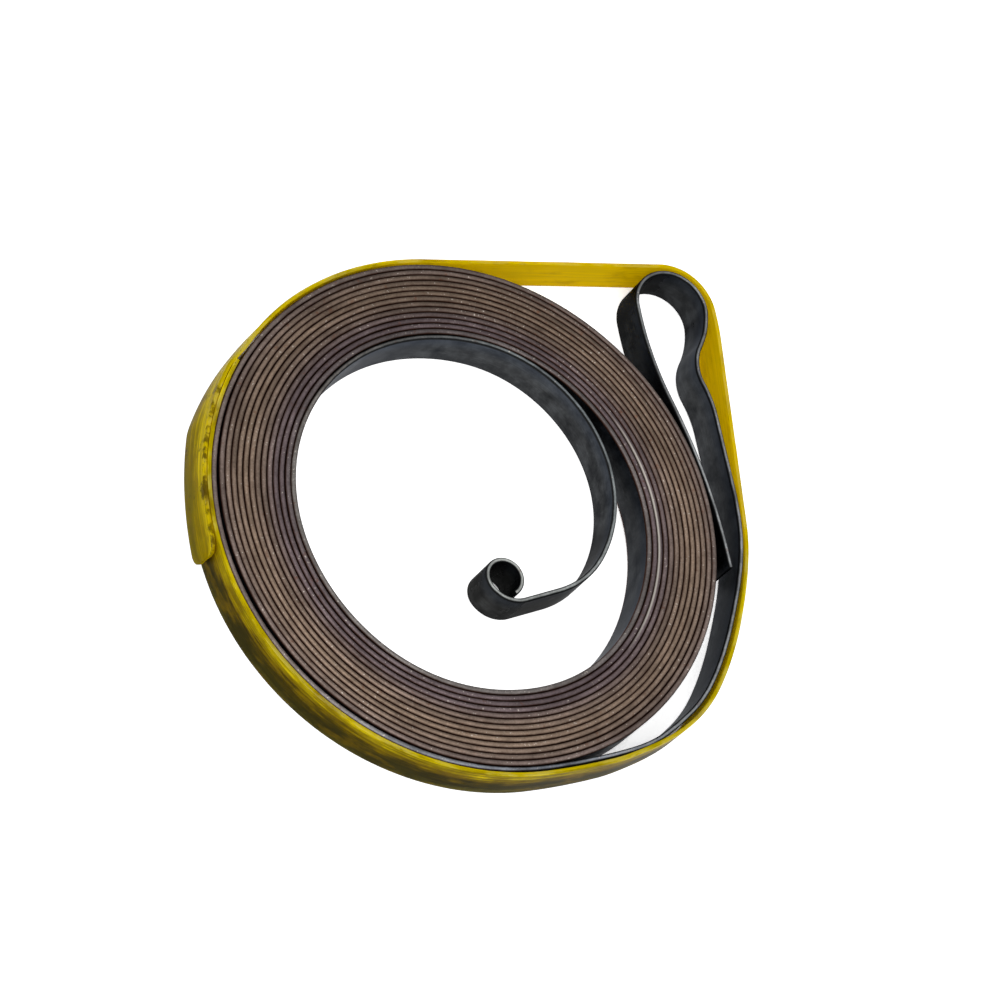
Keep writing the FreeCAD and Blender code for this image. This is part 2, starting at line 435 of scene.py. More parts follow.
class CoilPlan:
    """Plan of the whole coil: the circles that its courses touch."""

    def __init__(self, sizes: CoilSizes) -> None:
        """Work out every circle from the sizes."""
        s = sizes
        self.sizes = s
        self.contact_radius = s.outer_turn_radius + s.strip_thickness + s.leg_contact_clearance
        contact = s.odd_centre + heading_vector(s.leg_contact_angle) * self.contact_radius
        rise = Course(contact, s.leg_contact_angle + 90)
        rise.arc(s.leg_radius, s.leg_angle_above)
        rise.arc(s.loop_rise_radius, -s.loop_rise_angle)
        rise.arc(s.loop_radius, -s.loop_angle)
        self.loop_centre = rise.point + heading_vector(rise.heading - 90) * s.loop_radius
        self.loop_heading = rise.heading + 180
        self.loop_entry_centre = rise.point + heading_vector(rise.heading - 90) * s.loop_entry_radius
        side_normal = heading_vector(s.side_run_angle + 90)
        run_end = np.array([self.contact_radius + s.side_gap, s.neck_entry_height])
        self.neck_entry_centre = run_end + side_normal * s.neck_entry_radius
        self.neck_centre = meeting_centre(
            self.neck_entry_centre, s.neck_entry_radius + s.neck_radius,
            self.loop_entry_centre, s.loop_entry_radius + s.neck_radius, -1,
        )
        run_start = run_end - heading_vector(s.side_run_angle) * s.side_run_length
        self.side_centre = run_start + side_normal * s.side_radius
        self.departure = s.joint_angle + 180 * s.half_turn_count + s.last_turn_angle
        self.run_out_centre = (
            s.even_centre + heading_vector(self.departure) * (s.last_turn_radius - s.run_out_radius)
        )
        self.corner_centre = meeting_centre(
            self.run_out_centre, s.run_out_radius - s.corner_radius,
            self.side_centre, s.side_radius - s.corner_radius, 1,
        )
        self.run_out_heading = angle_of(self.corner_centre - self.run_out_centre) + 90
        self.corner_heading = angle_of(self.corner_centre - self.side_centre) + 90

    def hang(self, points: np.ndarray, start: tuple[float, float], end: tuple[float, float]) -> np.ndarray:
        """How much of its pull inwards the side strip has, along the lower right.

        Args:
            points: Points of a course.
            start: Angles round the pack between which the pull begins, in degrees.
            end: Angles between which it ends.

        Returns:
            Share from 0 to 1 at each point.
        """
        angle = round_angles(points)
        return fade(angle, *start) * (1 - fade(angle, *end))

    def tail(self) -> Course:
        """Course of the inner tail, from the curl's end to the pack."""
        s = self.sizes
        tail = Course(s.even_centre + heading_vector(s.joint_angle) * s.first_turn_radius, s.joint_angle - 90)
        for share, bend in s.tail_bends:
            tail.arc(share * s.first_turn_radius, -bend)
        tail.straight(s.tail_flat_length)
        tail.arc(s.curl_entry_radius, -s.curl_entry_angle)
        tail.arc(s.curl_radius, -s.curl_angle)
        return tail.backwards()

    def last_turn(self, course: Course, offset: float, start_angle: float) -> None:
        """Add the last turn, or the strap's line round it, from an angle within its first quarter."""
        s = self.sizes
        wide = s.last_turn_radius + s.slack_share + offset
        quarter = s.last_turn_angle / 4
        course.arc(wide, s.joint_angle + quarter - start_angle)
        course.arc(s.slack_middle_radius + offset, 2 * quarter)
        course.arc(wide, quarter)

    def strip(self) -> tuple[Course, float, float]:
        """Course of the whole strip.

        Returns:
            The course, and the lengths at which the pack starts and ends.
        """
        s = self.sizes
        course = self.tail()
        pack_start = course.length
        for index in range(s.half_turn_count):
            course.arc(s.first_turn_radius + index * s.pitch / 2, 180.0)
        self.last_turn(course, 0.0, s.joint_angle)
        pack_end = course.length
        course.arc_to(s.run_out_radius, self.run_out_heading)
        course.arc_to(s.corner_radius, self.corner_heading)
        course.arc_to(s.side_radius, s.side_run_angle)
        course.straight(s.side_run_length)
        course.arc_to(s.neck_entry_radius, angle_of(self.neck_centre - self.neck_entry_centre) + 90)
        course.arc_to(s.neck_radius, angle_of(self.neck_centre - self.loop_entry_centre) + 90, Hand.RIGHT)
        course.arc_to(s.loop_entry_radius, self.loop_heading)
        course.arc(s.loop_radius, s.loop_angle)
        course.arc(s.loop_rise_radius, s.loop_rise_angle)
        course.arc(s.leg_radius, -s.leg_angle_above - math.degrees(s.leg_length_below / s.leg_radius))
        return course, pack_start, pack_end

    def strap(self) -> tuple[Course, dict[str, float]]:
        """Course of the strap, from its end under the lap to the end of the tab.

        Returns:
            The course, and the lengths at which its stretches start.
        """
        s = self.sizes
        offset = s.strap_offset
        slack_centre = s.even_centre - heading_vector(s.joint_angle) * s.slack_share
        wide = s.last_turn_radius + s.slack_share + offset
        start = slack_centre + heading_vector(s.strap_inner_end_angle) * wide
        course = Course(start, s.strap_inner_end_angle + 90)
        self.last_turn(course, offset, s.strap_inner_end_angle)
        marks = {"run_out": course.length}
        course.arc_to(s.run_out_radius + offset, self.run_out_heading)
        course.arc_to(s.corner_radius + offset, self.corner_heading)
        bearing = s.loop_radius + offset - s.strap_clearance + s.strap_loop_clearance - s.strap_loop_radius
        loop_centre = self.loop_centre + heading_vector(s.strap_bearing_angle) * bearing
        inwards = s.strap_loop_radius - s.strap_shoulder_radius
        to_shoulder = loop_centre + heading_vector(s.strap_shoulder_angle - 90) * inwards - self.side_centre
        reach = float(np.hypot(*to_shoulder))
        step = s.side_radius + offset - s.strap_shoulder_radius
        course.arc_to(s.side_radius + offset, angle_of(to_shoulder) + math.degrees(math.asin(step / reach)))
        marks["side"] = course.length
        course.straight(math.sqrt(reach**2 - step**2))
        course.arc_to(s.strap_shoulder_radius, s.strap_shoulder_angle)
        marks["loop"] = course.length
        to_pack = s.odd_centre - loop_centre
        reach = float(np.hypot(*to_pack))
        step = s.strap_loop_radius - s.outer_turn_radius - offset
        course.arc_to(s.strap_loop_radius, angle_of(to_pack) + math.degrees(math.asin(step / reach)))
        marks["top"] = course.length
        course.straight(math.sqrt(reach**2 - step**2))
        marks["pack"] = course.length
        course.arc_to(s.outer_turn_radius + offset, s.lap_start_angle + 90)
        marks["lap"] = course.length
        lift = s.lap_lift_share * s.outer_turn_radius
        lift_centre = course.point - heading_vector(s.lap_start_angle) * lift
        tab = s.lap_tab_share * s.outer_turn_radius
        near = s.last_turn_radius + offset + s.strap_thickness + s.lap_gap
        tab_centre = s.even_centre + heading_vector(s.lap_near_angle) * (near - tab)
        bulge = meeting_centre(
            tab_centre, tab - s.lap_bulge_radius, lift_centre, lift - s.lap_bulge_radius, -1
        )
        course.arc_to(lift, angle_of(bulge - lift_centre) + 90)
        course.arc_to(s.lap_bulge_radius, angle_of(bulge - tab_centre) + 90)
        marks["tab"] = course.length
        course.arc(tab, math.degrees(s.lap_tab_length / tab))
        return course, marks


def normals(headings: np.ndarray) -> np.ndarray:
    """Unit vectors to the left of headings in radians."""
    return np.stack([-np.sin(headings), np.cos(headings)], axis=-1)


def rings_along(
    points: np.ndarray, headings: np.ndarray, offset: np.ndarray, height: np.ndarray
) -> np.ndarray:
    """Stand rings of points square to a course.

    Args:
        points: Stations of the course.
        headings: Heading at each station, in radians.
        offset: Distance to the left of the course, as stations by ring points.
        height: Height of the same points.

    Returns:
        The rings, as stations by ring points by three.
    """
    ground = points[:, None, :] + normals(headings)[:, None, :] * offset[:, :, None]
    return np.concatenate([ground, height[:, :, None]], axis=2)


def sweep(
    name: str, rings: np.ndarray, place: np.ndarray, round_length: np.ndarray, values: dict[str, np.ndarray]
) -> bpy.types.Object:
    """Make a closed mesh from rings of points, with capped ends.

    Args:
        name: Name of the new object.
        rings: Points in millimetres, as stations by ring points by three.
        place: Length along the sweep of each station, in millimetres.
        round_length: Length round the ring of each ring point, in millimetres.
        values: Named values of each point, as stations by ring points.

    Returns:
        The object, smooth shaded, with a UV map in millimetres.
    """
    count, around = rings.shape[:2]
    mesh = bpy.data.meshes.new(name)
    number = np.arange(count * around).reshape(count, around)
    following = np.roll(number, -1, axis=1)
    quads = np.stack([number[:-1], following[:-1], following[1:], number[1:]], axis=-1).reshape(-1, 4)
    faces = quads.tolist() + [number[0][::-1].tolist(), number[-1].tolist()]
    mesh.from_pydata((rings.reshape(-1, 3) * MM).tolist(), [], faces)
    for label, value in values.items():
        layer = mesh.attributes.new(label, "FLOAT", "POINT")
        layer.data.foreach_set("value", value.reshape(-1).astype(np.float32))
    uv = mesh.uv_layers.new(name="lengths")
    total = round_length[-1] + float(np.linalg.norm(rings[0][0] - rings[0][-1]))
    corner_vertex = np.zeros(len(mesh.loops), dtype=np.int32)
    mesh.loops.foreach_get("vertex_index", corner_vertex)
    along = place[corner_vertex // around]
    across = round_length[corner_vertex % around]
    in_quads = np.arange(len(corner_vertex)) < len(quads) * 4
    wraps = in_quads & np.isin(np.arange(len(corner_vertex)) % 4, (1, 2)) & (corner_vertex % around == 0)
    across = np.where(wraps, total, across)
    uv.data.foreach_set("uv", np.stack([along, across], axis=1).reshape(-1).astype(np.float32))
    mesh.polygons.foreach_set("use_smooth", [True] * len(faces))
    mesh.update()
    thing = bpy.data.objects.new(name, mesh)
    bpy.context.scene.collection.objects.link(thing)
    return thing


@dataclass(frozen=True)
class TemperedSpringSteel:
    """Hardened and tempered carbon spring steel, cold rolled, with rounded edges.

    The flat faces keep the blue-black oxide of tempering under a film of oil, with a painted blue reflection
    on their upper half. The edges are rubbed barer, so they show a dull brown-grey metal: purplish on the
    inner turns, tan in the middle, and blue-silver where the outermost turn is new from rubbing. Their flanks
    carry painted shade with some brown grime down into the grooves between the turns, painted shade darkens
    them towards the loop, and their crests have specks that are partly painted glints.
    """

    name: str = "tempered_carbon_spring_steel"
    face: str = "3C3D3E"
    face_light: str = "5B5D5F"
    face_dark: str = "242526"
    # painted blue reflection laid on the upper half of the faces
    painted_blue_sheen: str = "40526C"
    edge_stops: tuple[tuple[float, str], ...] = (
        (0.00, "A6A8A4"), (0.07, "868D90"), (0.115, "74706C"), (0.19, "665A5C"), (0.30, "6C5F60"),
        (0.40, "7A6A60"), (0.56, "887565"), (0.72, "7F6E62"), (0.80, "756761"), (0.847, "7C706A"),
        (0.853, "7C8086"), (0.858, "858B95"), (0.88, "8E9194"), (1.00, "A0A3A4"),
    )
    shade_stops: tuple[tuple[float, str], ...] = (
        (0.00, "A8A6A2"), (0.035, "D8D6D2"), (0.06, "DEDEDE"), (0.11, "F3F3F3"), (0.20, "E2E2E2"),
        (0.85, "E2E2E2"), (0.90, "EEEEEE"), (0.965, "EEEEEE"), (0.985, "A6A6A6"),
    )
    # painted shade with some grime in the grooves between the turns
    painted_groove_shade: str = "5A3A2C"
    grazing: str = "C0C2C6"
    # painted glint, partly bare metal, in specks on the crests
    crest_glint: str = "E6DCD0"
    rub: str = "DCD6CC"
    rust: str = "6E3B1C"
    # direction in which painted shade darkens the edges
    painted_shade_side: tuple[float, float, float] = (0.25, 0.97, 0.0)
    metallic: float = 0.9
    roughness: float = 0.45
    face_mottle_mm: float = 2.4
    grit_mm: float = 0.3
    speck_mm: float = 0.28
    freckle_mm: float = 1.1
    run_mm: float = 14.0
    turns_low: float = -2.0
    turns_high: float = 16.0

    def edge_colour(
        self, tree: bpy.types.NodeTree, values: dict[str, bpy.types.NodeSocket]
    ) -> bpy.types.NodeSocket:
        """Colour of the rounded edges.

        Args:
            tree: The material's tree.
            values: Sockets of the strip's own values, its place and its lengths.

        Returns:
            The colour's socket.
        """
        tint = add_node(tree, "ShaderNodeValToRGB", {}, {0: values["course"]})
        set_ramp(tint, list(self.edge_stops))

        # Each turn has lighter and darker runs, a centimetre or two long
        runs = add_node(tree, "ShaderNodeTexNoise", {"noise_dimensions": "1D"}, {
            "W": values["along"], "Scale": 1 / self.run_mm, "Detail": 3.0, "Roughness": 0.6,
        })

        # Scuffs of 0.7 by 2 mm, and grit as fine as shows
        scuffs = drawn_noise(tree, values["lengths"], (0.495, 1.44), 4.0, 0.65)
        grit = even_noise(tree, values["place"], self.grit_mm, 2.0, 0.6)

        # Painted shade: the edges darken towards the side of the loop
        towards_painted_shade = add_node(tree, "ShaderNodeVectorMath", {"operation": "DOT_PRODUCT"}, {
            0: values["place"], 1: self.painted_shade_side,
        })
        tone = add_node(tree, *EVEN_RANGE, {
            "Value": towards_painted_shade.outputs["Value"], "From Min": 8 * MM, "From Max": 28 * MM,
            "To Min": 1.0, "To Max": 0.66,
        })
        for noise, darkest, lightest in ((runs, 0.84, 1.40), (scuffs, 0.80, 1.30), (grit, 0.8, 1.2)):
            tone = add_node(tree, *PRODUCT, {0: tone, 1: swing(tree, noise, darkest, lightest)})
        toned = add_node(tree, *COLOUR_SCALE, {0: tint, "Scale": tone})

        # Rust freckles lie on a few stretches, and the crest gets specks that are partly painted glints and
        # partly scuffs to bare metal
        freckles = even_noise(tree, values["place"], self.freckle_mm, 3.0, 0.6)
        rusty = add_node(tree, *SMOOTH_RANGE, {
            "Value": freckles, "From Min": 0.62, "From Max": 0.76, "To Max": 0.45,
        })
        specks = even_noise(tree, values["place"], self.speck_mm, 1.0, 0.4)
        more_specks = add_node(tree, *PRODUCT_AND_SUM, {0: runs, 1: 0.22, 2: specks})
        glint_share = add_node(tree, *SMOOTH_RANGE, {
            "Value": more_specks, "From Min": 0.79, "From Max": 0.91, "To Max": 0.7,
        })
        crest_glints = add_node(tree, *PRODUCT, {0: glint_share, 1: values["crest"]})
        shown = toned.outputs[0]
        for mask, colour in ((rusty, self.rust), (crest_glints, self.crest_glint)):
            shown = add_node(tree, *COLOUR_MIX, {0: mask, 6: shown, 7: linear(colour)}).outputs[2]

        # Painted shade with some brown grime on the flanks of the edges, down into the grooves between the
        # turns, with an uneven limit, and a narrower unshaded ridge on the free stretches
        uneven = add_node(tree, *PRODUCT_AND_SUM, {0: scuffs, 1: 0.5, 2: values["crest"]})
        height = add_node(tree, *PRODUCT_AND_SUM, {0: values["free"], 1: -0.4, 2: uneven})
        lit_ridge_share = add_node(tree, *SMOOTH_RANGE, {"Value": height, "From Min": 0.28, "From Max": 1.0})
        painted_flank_shade = add_node(tree, *COLOUR_MIX, {
            0: values["free"], 6: linear(self.painted_groove_shade), 7: linear(self.face_dark),
        })
        flank_shaded = add_node(tree, *COLOUR_MIX, {0: lit_ridge_share, 6: painted_flank_shade.outputs[2], 7: shown})
        rubbed = add_node(tree, *COLOUR_MIX, {
            0: values["bare"], 6: flank_shaded.outputs[2], 7: linear(self.rub),
        })
        return rubbed.outputs[2]

    def build(self) -> bpy.types.Material:
        """Build the steel's material from the strip's own values and lengths."""
        material, tree, output = new_material(self.name)
        surface = add_node(tree, "ShaderNodeBsdfPrincipled")
        tree.links.new(surface.outputs[0], output.inputs[0])
        values = read_values(tree, ("turn", "edge", "crest", "bare", "along", "free"))
        values["course"] = add_node(tree, *EVEN_RANGE, {
            "Value": values["turn"], "From Min": self.turns_low, "From Max": self.turns_high,
        }).outputs[0]

        # Blue-black oxide of the flat faces, mottled by oil and handling
        mottle = even_noise(tree, values["place"], self.face_mottle_mm, 5.0, 0.62)
        oxide = add_node(tree, "ShaderNodeValToRGB", {}, {0: mottle})
        set_ramp(oxide, [(0.30, self.face_dark), (0.48, self.face), (0.74, self.face_light)])

        # Rolling lines along the strip, 0.24 by 3 mm
        grain = drawn_noise(tree, values["lengths"], (0.35, 4.2), 3.0, 0.6)
        rolled = add_node(tree, *COLOUR_SCALE, {0: oxide, "Scale": swing(tree, grain, 0.82, 1.18)})

        # The upper half of the faces gets a painted blue reflection, mottled
        tall = add_node(tree, "ShaderNodeSeparateXYZ", {}, {0: values["place"]}).outputs[2]
        upper = add_node(tree, *SMOOTH_RANGE, {
            "Value": tall, "From Min": 3.0 * MM, "From Max": 6.0 * MM, "To Max": 0.36,
        })
        painted_sheen_share = add_node(tree, *PRODUCT, {0: upper, 1: mottle})
        with_painted_sheen = add_node(tree, *COLOUR_MIX, {0: painted_sheen_share, 6: rolled, 7: linear(self.painted_blue_sheen)})

        # The leg and the curl are blacker than the rest, also where they are seen at a low angle
        black = add_node(tree, "ShaderNodeValToRGB", {}, {0: values["course"]})
        set_ramp(black, list(self.shade_stops))
        shaded = add_node(tree, *COLOUR_PRODUCT, {0: with_painted_sheen.outputs[2], 1: black})
        colour = add_node(tree, *COLOUR_MIX, {
            0: values["edge"], 6: shaded, 7: self.edge_colour(tree, values),
        })
        tree.links.new(colour.outputs[2], surface.inputs["Base Color"])
        rough = swing(tree, mottle, self.roughness - 0.09, self.roughness + 0.12)
        tree.links.new(rough.outputs[0], surface.inputs["Roughness"])
        surface.inputs["Metallic"].default_value = self.metallic
        grazing = add_node(tree, *COLOUR_PRODUCT, {0: linear(self.grazing)[:3], 1: black})
        tree.links.new(grazing.outputs[0], surface.inputs["Specular Tint"])
        bump = add_node(tree, "ShaderNodeBump", {}, {
            "Height": grain, "Strength": 0.25, "Distance": 0.03 * MM,
        })
        tree.links.new(bump.outputs[0], surface.inputs["Normal"])
        return material


@dataclass(frozen=True)
class TintedPolypropyleneStrap:
    """Thin yellow polypropylene strapping, extruded and stretched, soiled by oil.

    Where light passes through it glows ochre yellow. Where it lies on the dark steel it looks olive, with
    painted shade that makes it darkest low down and bright at the top, with lengthwise streaks from the
    stretching and a broken pale line where the light catches its rim. Oil and rust leave dark brown stains,
    most of all along the lap.
    """

    name: str = "extruded_yellow_polypropylene"
    clear: str = "F8E002"
    glow: str = "FFE802"
    # olive over the steel, with painted shade from the bottom up to painted light coming through at the top
    backed_shade_stops: tuple[tuple[float, str], ...] = (
        (0.00, "5C5620"), (0.08, "403C12"), (0.34, "38340E"), (0.52, "584A0C"), (0.68, "947A06"),
        (0.82, "B09A06"), (0.94, "D6BE08"), (1.00, "E4CC12"),
    )
    rim: str = "F0E478"
    smudge: str = "8E7212"
    stain: str = "2A1E0C"
    blot_mm: float = 1.5
    roughness: float = 0.36
    ior: float = 1.49
    shine: float = 0.01

    def build(self) -> bpy.types.Material:
        """Build the strap's material from the strap's own values and lengths."""
        material, tree, output = new_material(self.name)
        surface = add_node(tree, "ShaderNodeBsdfPrincipled")
        values = read_values(tree, ("backing", "level", "dirt", "lip"))

        # Streaks of the stretched plastic, 0.4 by 12 mm, ragged patches of 2 by 5 mm and smudges of 2 by 6 mm
        streak = drawn_noise(tree, values["lengths"], (0.08, 2.4), 4.0, 0.6)
        ragged = drawn_noise(tree, values["lengths"], (0.20, 0.55), 5.0, 0.68)
        smudged = drawn_noise(tree, values["lengths"], (0.17, 0.5), 5.0, 0.66)

        # Steel behind the strap darkens it, and painted shade grades it by height, darkest low down and
        # brightest at the top, along ragged lines
        wavy = add_node(tree, *PRODUCT_AND_SUM, {0: ragged, 1: 5.6, 2: values["level"]})
        wavier = add_node(tree, *PRODUCT_AND_SUM, {0: streak, 1: 2.2, 2: wavy})
        share = add_node(tree, *EVEN_RANGE, {"Value": wavier, "From Min": 4.3, "From Max": 10.1})
        olive_painted_shade = add_node(tree, "ShaderNodeValToRGB", {}, {0: share})
        set_ramp(olive_painted_shade, list(self.backed_shade_stops))
        yellow = add_node(tree, *COLOUR_SCALE, {
            0: linear(self.clear)[:3], "Scale": swing(tree, streak, 0.66, 1.14),
        })
        brushed = add_node(tree, *COLOUR_SCALE, {0: olive_painted_shade, "Scale": swing(tree, streak, 0.42, 1.5)})
        body = add_node(tree, *COLOUR_MIX, {0: values["backing"], 6: yellow, 7: brushed})

        # Over it lie faint smudges, the rim's broken line of light, and stains of oil and rust
        lit = add_node(tree, *PRODUCT, {0: values["lip"], 1: ragged})
        blots = even_noise(tree, values["place"], self.blot_mm, 5.0, 0.72)
        dirty = add_node(tree, *PRODUCT_AND_SUM, {0: values["dirt"], 1: 0.34, 2: blots})
        shown = body.outputs[2]
        for value, start, end, most, colour in (
            (smudged, 0.50, 0.68, 0.75, self.smudge),
            (lit, 0.46, 0.60, 0.4, self.rim),
            (dirty, 0.70, 0.86, 0.85, self.stain),
        ):
            mask = add_node(tree, *SMOOTH_RANGE, {
                "Value": value, "From Min": start, "From Max": end, "To Max": most,
            })
            shown = add_node(tree, *COLOUR_MIX, {0: mask, 6: shown, 7: linear(colour)}).outputs[2]
        tree.links.new(shown, surface.inputs["Base Color"])
        surface.inputs["Roughness"].default_value = self.roughness
        surface.inputs["IOR"].default_value = self.ior
        surface.inputs["Specular IOR Level"].default_value = self.shine
        bump = add_node(tree, "ShaderNodeBump", {}, {
            "Height": streak, "Strength": 0.3, "Distance": 0.08 * MM,
        })
        tree.links.new(bump.outputs[0], surface.inputs["Normal"])

        # Light that comes through the plastic, less where steel is behind it
        through = add_node(tree, "ShaderNodeBsdfTranslucent", {}, {"Color": linear(self.glow)})
        passing = add_node(tree, *EVEN_RANGE, {"Value": values["backing"], "To Min": 0.5, "To Max": 0.12})
        both = add_node(tree, "ShaderNodeMixShader", {}, {0: passing, 1: surface, 2: through})
        tree.links.new(both.outputs[0], output.inputs[0])
        return material


@dataclass(frozen=True)
class PaleStudioFloor:
    """Matt white painted board: it reads as plain white, and deep between close walls it goes into shadow."""

    name: str = "matt_white_board"
    colour: str = "F4F4F4"
    lift: float = 0.85
    corner_reach_mm: float = 20.0

    def build(self) -> bpy.types.Material:
        """Build the floor's material."""
        material, tree, output = new_material(self.name)
        board = add_node(tree, "ShaderNodeBsdfDiffuse", {}, {"Color": linear(self.colour), "Roughness": 0.0})
        rays = add_node(tree, "ShaderNodeLightPath")
        seen = add_node(tree, "ShaderNodeMath", {"operation": "ADD"}, {
            0: rays.outputs["Is Camera Ray"], 1: rays.outputs["Is Glossy Ray"],
        })
        shown = add_node(tree, "ShaderNodeMath", {"operation": "ADD", "use_clamp": True}, {
            0: seen, 1: rays.outputs["Is Transmission Ray"],
        })
        open_sky = add_node(tree, "ShaderNodeAmbientOcclusion", {"samples": 6}, {
            "Distance": self.corner_reach_mm * MM,
        })
        unshaded = add_node(tree, *SMOOTH_RANGE, {
            "Value": open_sky.outputs["AO"], "From Min": 0.06, "From Max": 0.15, "To Max": self.lift,
        })
        strength = add_node(tree, *PRODUCT, {0: shown, 1: unshaded})
        glow = add_node(tree, "ShaderNodeEmission", {}, {"Color": linear("FFFFFF"), "Strength": strength})
        both = add_node(tree, "ShaderNodeAddShader", {}, {0: board, 1: glow})
        tree.links.new(both.outputs[0], output.inputs[0])
        return material


@dataclass
class SpringStrip:
    """The wound steel strip: curl, tail, pack, loop and leg in one piece. Millimetres and degrees."""

    plan: CoilPlan
    finish: TemperedSpringSteel = field(default_factory=TemperedSpringSteel)
    edge_radius: float = 0.29
    corner_steps: int = 5
    edge_band: float = 0.12
    snug: float = 0.05
    step: float = 1.6
    step_angle: float = 2.6
    tail_length_per_turn: float = 45.0
    leg_length_per_turn: float = 40.0
    side_wander: float = 0.03
    rise_wander: float = 0.07
    side_hang: float = 0.82
    hang_angles: tuple[tuple[float, float], ...] = ((296, 311), (334, 357))
    hang_length: float = 70.0
    inner_draw: float = 0.36
    bottom_press: float = 0.34
    outer_draw: float = 0.24
    bright_from: tuple[float, float] = (2.52, 2.57)
    bright_to: tuple[float, float] = (2.69, 2.76)
    bright_offset: float = 0.18
    bright_spread: float = 0.1

    def section(self) -> tuple[np.ndarray, np.ndarray]:
        """Rounded section of the strip.

        Returns:
            Ring points as offset and height from the strip's middle, and how much each lies on an edge.
        """
        s = self.plan.sizes
        half, tall, r = s.strip_thickness / 2, s.strip_width / 2, self.edge_radius
        points, on_edge = [], []
        for side, top in ((1, 1), (-1, 1), (-1, -1), (1, -1)):
            first = 0 if side * top > 0 else 90
            corner = []
            for index in range(self.corner_steps + 1):
                angle = math.radians(first + (90 if first == 0 else -90) * index / self.corner_steps)
                across, up = half - r + r * math.cos(angle), tall - r + r * math.sin(angle)
                corner.append((side * across, top * up))
            face = [(side * half, 0.0), (side * half, top * (tall - r - self.edge_band))]
            if first == 0:
                points += face + corner
                on_edge += [0.0, 0.0] + [1.0] * len(corner)
            else:
                points += corner + face[:0:-1]
                on_edge += [1.0] * len(corner) + [0.0]
        return np.array(points), np.array(on_edge)

    def settling(self, angle: np.ndarray, turn: np.ndarray) -> np.ndarray:
        """How far the turns lie outside an even spiral, in millimetres.

        The inner turns are drawn in at the lower left and press outwards at the bottom, and the outer ones
        are drawn in at the upper left.

        Args:
            angle: Angle round the pack of each station, in degrees.
            turn: Turn number at each station.

        Returns:
            The distance at each station.
        """
        def near(middle: float, width: float) -> np.ndarray:
            """Smooth bump round an angle, in degrees."""
            away = np.degrees(np.angle(np.exp(1j * np.radians(angle - middle))))
            return np.exp(-((away / width) ** 2))

        inner = np.exp(-np.maximum(turn, 0) / 1.6)
        lower_left = -self.inner_draw * inner * near(205, 38)
        bottom = self.bottom_press * (1 - fade(turn, 3, 11)) * near(303, 26)
        upper_left = -self.outer_draw * fade(turn, 6, 13) * near(112, 26)
        inside = (turn > 0.05) * (turn < 13.2)
        return (lower_left + bottom + upper_left) * inside * fade(turn, 0.05, 0.3)

    def turns(self, headings: np.ndarray, lengths: np.ndarray, pack: list[float]) -> np.ndarray:
        """Count the turns from the start of the pack, below zero on the tail and on past the pack's end.

        Args:
            headings: Heading at each station, in radians.
            lengths: Length along the strip of each station.
            pack: Lengths at which the pack starts and ends.

        Returns:
            The turn number at each station.
        """
        in_pack = (lengths >= pack[0]) & (lengths <= pack[1])
        wound = np.cumsum(np.diff(headings, prepend=headings[0]) * in_pack) / (2 * math.pi)
        turn = np.where(lengths < pack[0], (lengths - pack[0]) / self.tail_length_per_turn, wound)
        return np.where(lengths > pack[1], wound[-1] + (lengths - pack[1]) / self.leg_length_per_turn, turn)

    def shift(
        self, points: np.ndarray, lengths: np.ndarray, turn: np.ndarray, pack: list[float]
    ) -> np.ndarray:
        """How far the strip lies inside its even course, in millimetres.

        The turns lie a little unevenly and have settled, and the side run hangs inwards.

        Args:
            points: Stations of the course.
            lengths: Length along the strip of each station.
            turn: Turn number at each station.
            pack: Lengths at which the pack starts and ends.

        Returns:
            The shift at each station.
        """
        calm = fade(lengths, pack[0], pack[0] + 60) * (1 - fade(lengths, pack[1] - 200, pack[1] - 60))
        side = follow(wander(11, 35, 260), lengths) * self.side_wander * calm
        side = side - self.settling(round_angles(points), turn)
        beside = (lengths > pack[1]) * (lengths < pack[1] + self.hang_length)
        return side + self.side_hang * beside * self.plan.hang(points, *self.hang_angles)

    def build(self) -> bpy.types.Object:
        """Sweep the section along the whole course."""
        s = self.plan.sizes
        course, *pack = self.plan.strip()
        points, headings, lengths = course.stations(self.step, self.step_angle)
        ring, on_edge = self.section()
        turn = self.turns(headings, lengths, pack)

        # The section swells where turn lies on turn, so that no light comes through, and its top edge
        # dips in places
        half, upper = s.strip_thickness / 2, ring[:, 1] > 0
        wound_in = fade(lengths, pack[0], pack[0] + 20) * (1 - fade(lengths, pack[1] - 20, pack[1]))
        swell = 1 + wound_in * self.snug / half
        offset = ring[:, 0] * swell[:, None] + self.shift(points, lengths, turn, pack)[:, None]
        dip = np.minimum(follow(wander(12, 40, 400), lengths) * self.rise_wander, 0)
        rings = rings_along(points, headings, offset, s.strip_width / 2 + ring[:, 1] + dip[:, None] * upper)

        # One inner turn is rubbed bright along its inner corner on the right
        rubbed = fade(turn, *self.bright_from) * (1 - fade(turn, *self.bright_to)) * (lengths < pack[1])
        inner_corner = np.exp(-(((ring[:, 0] - self.bright_offset) / self.bright_spread) ** 2)) * upper
        round_length = np.concatenate([[0.0], np.cumsum(np.hypot(*np.diff(ring, axis=0).T))])
        everywhere = np.ones(offset.shape)
        strip = sweep("spring_strip_wound", rings, lengths, round_length, {
            "edge": on_edge * everywhere,
            "crest": (1 - (np.abs(ring[:, 0]) / half) ** 2) * everywhere,
            "turn": turn[:, None] * everywhere,
            "along": lengths[:, None] * everywhere,
            "bare": rubbed[:, None] * inner_corner * 0.9,
            "free": (1 - wound_in)[:, None] * everywhere,
        })
        strip.data.materials.append(self.finish.build())
        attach(strip, "root")
        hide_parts("spring_strip")
        log.info("strip: %d stations, %.0f mm", len(points), lengths[-1])
        return strip


